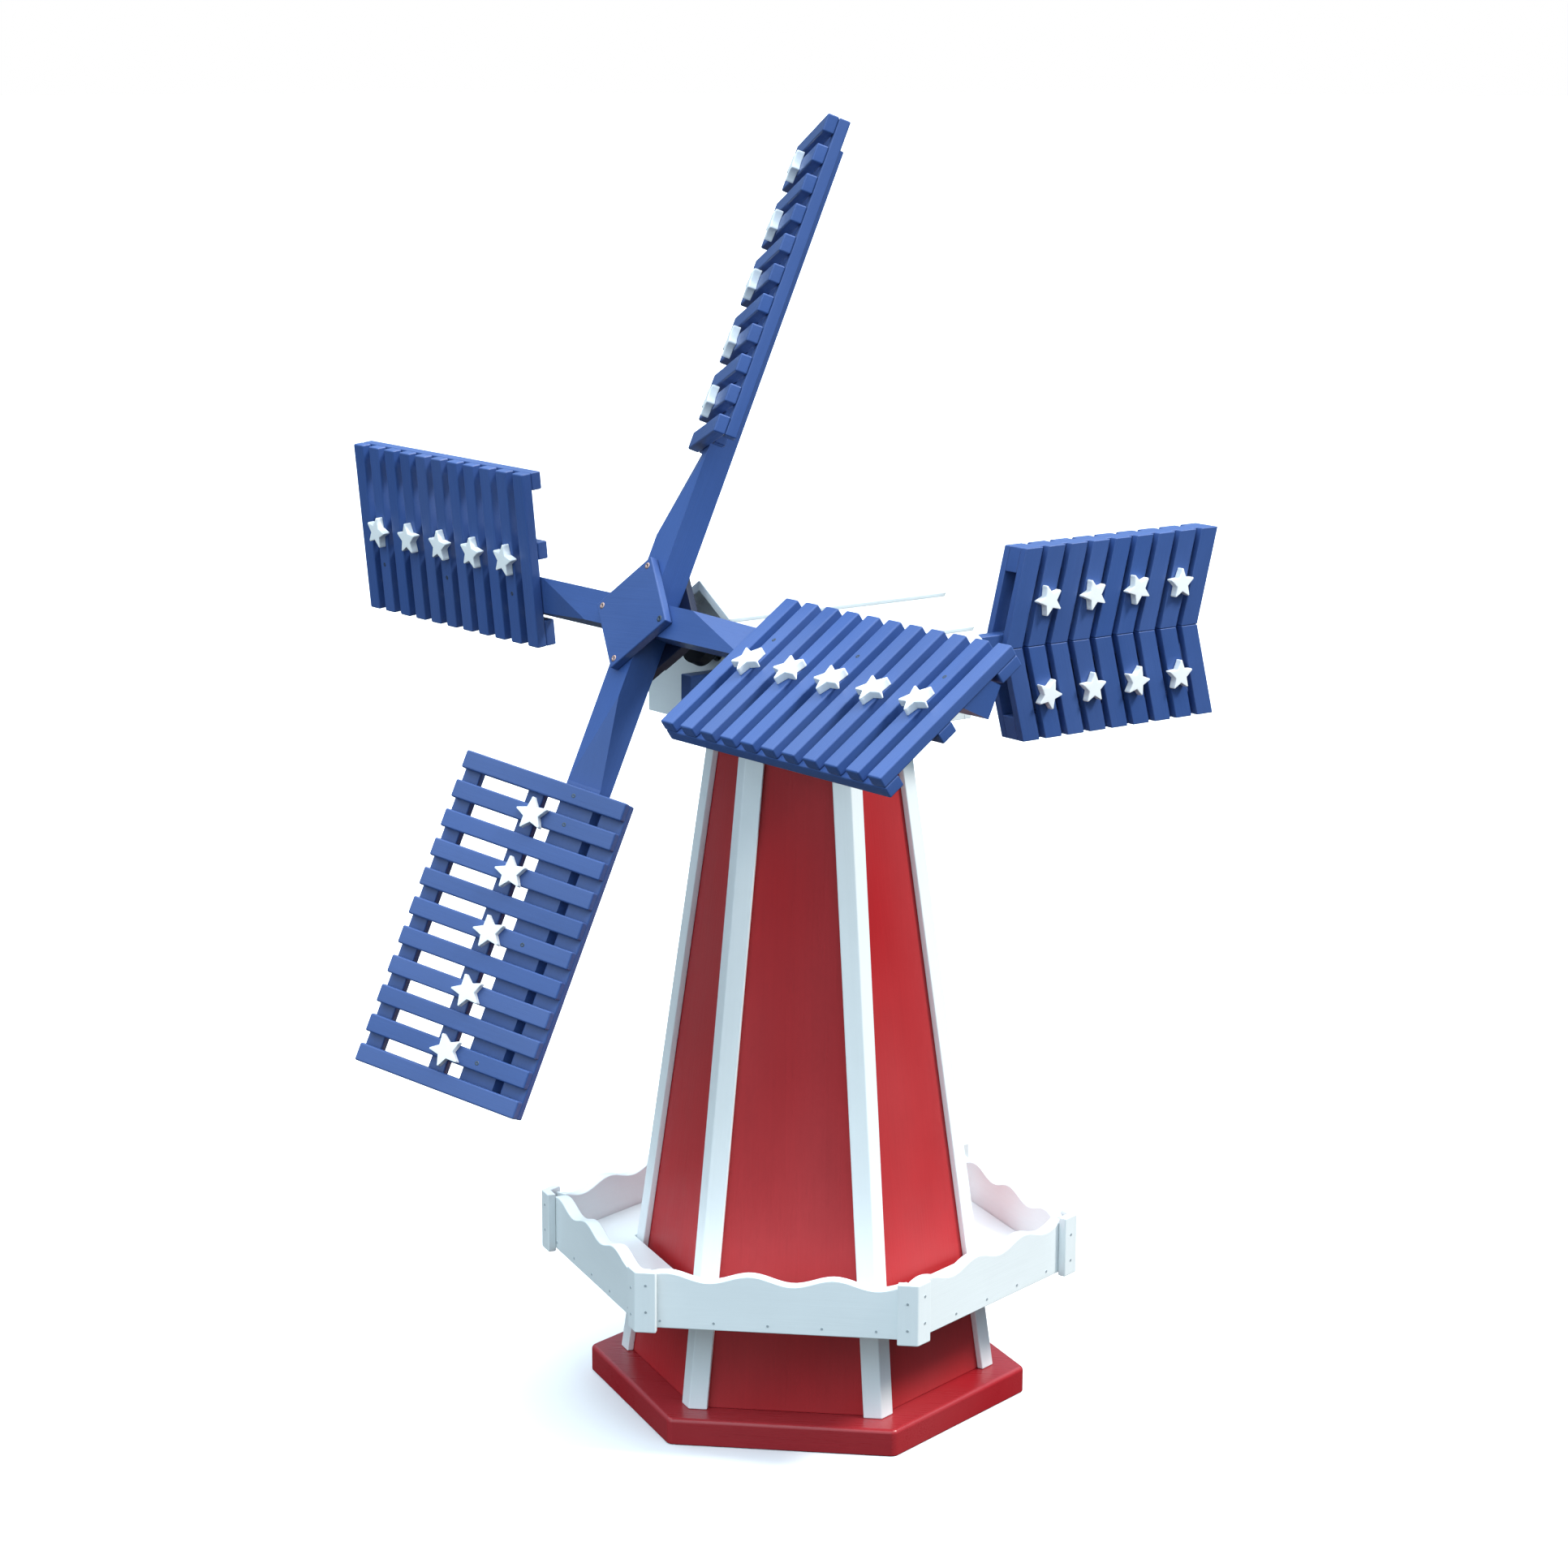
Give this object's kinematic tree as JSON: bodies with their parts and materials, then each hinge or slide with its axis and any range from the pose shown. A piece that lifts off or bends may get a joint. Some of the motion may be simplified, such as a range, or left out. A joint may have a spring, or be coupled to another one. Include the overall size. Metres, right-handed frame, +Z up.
{
  "type": "garden windmill",
  "caption": "Free-standing painted wooden garden windmill with a tapered hexagonal tower, planter tray, turning gabled head, slatted rotor and chevron tail vane.",
  "frame": {"origin": "centre of the underside of the hexagonal base, on the tower's axis", "axes": "+Z up along the tower; one flat side of the base faces -Y and two base corners lie on the X axis; at rest the head is turned 45 degrees from -Y toward -X, so the rotor faces -X-Y and the tail points +X+Y"},
  "size_m": [1.2584, 1.342, 1.8123],
  "materials": {
    "red_paint": "painted, semi-gloss",
    "white_paint": "painted, semi-gloss",
    "blue_paint": "painted, semi-gloss",
    "dark_blue_paint": "painted, semi-gloss",
    "bare_wood": "sawn, unpainted",
    "brass": "turned",
    "nylon": "moulded",
    "steel": "zinc plated",
    "iron": "cast"
  },
  "bodies": {
    "tower": {"base_plate": "red_paint", "tower_panel_1": "red_paint", "tower_panel_2": "red_paint", "tower_panel_3": "red_paint", "tower_panel_4": "red_paint", "tower_panel_5": "red_paint", "tower_panel_6": "red_paint", "corner_posts": "white_paint", "planter_floor": "white_paint", "planter_sides": "white_paint", "planter_corners": "white_paint", "planter_nails": "steel", "tower_top_plate": "red_paint", "pivot_plate": "bare_wood", "pivot_bushes": "brass", "thrust_washer": "nylon"},
    "head": {"pivot_shaft": "steel", "pivot_collar": "steel", "pivot_screws": "steel", "head_floor": "bare_wood", "head_front": "white_paint", "head_rear": "white_paint", "head_side_left": "white_paint", "head_side_right": "white_paint", "roof_left": "white_paint", "roof_right": "white_paint", "shaft_cradle": "bare_wood", "shaft_bearings": "iron", "bearing_bolts": "steel", "nose_block": "blue_paint", "boom_cleat": "bare_wood", "tail_boom": "blue_paint", "tail_top_batten": "blue_paint", "tail_bottom_batten": "blue_paint", "tail_slats_left": "blue_paint", "tail_slats_right": "blue_paint", "tail_stars": "white_paint"},
    "rotor": {"rotor_shaft": "steel", "shaft_nuts": "steel", "shaft_collars": "steel", "front_collar": "iron", "hub_front_plate": "blue_paint", "hub_back_plate": "dark_blue_paint", "hub_block": "dark_blue_paint", "hub_screws": "steel", "arm_upright": "blue_paint", "arm_level": "blue_paint", "blade_slats_1": "blue_paint", "blade_slats_2": "blue_paint", "blade_slats_3": "blue_paint", "blade_slats_4": "blue_paint", "blade_battens_1": "blue_paint", "blade_battens_2": "blue_paint", "blade_battens_3": "blue_paint", "blade_battens_4": "blue_paint", "blade_stars_1": "white_paint", "blade_stars_2": "white_paint", "blade_stars_3": "white_paint", "blade_stars_4": "white_paint"}
  },
  "joints": [
    {"name": "head_yaw", "type": "hinge", "parent": "tower", "child": "head", "pos_m": [0, 0, 0.98], "axis": [0, 0, 1], "continuous": true},
    {"name": "rotor_spin", "type": "hinge", "parent": "head", "child": "rotor", "pos_m": [-0.21461, -0.21461, 1.1565], "axis": [-0.6409, -0.6409, 0.4226], "continuous": true}
  ]
}
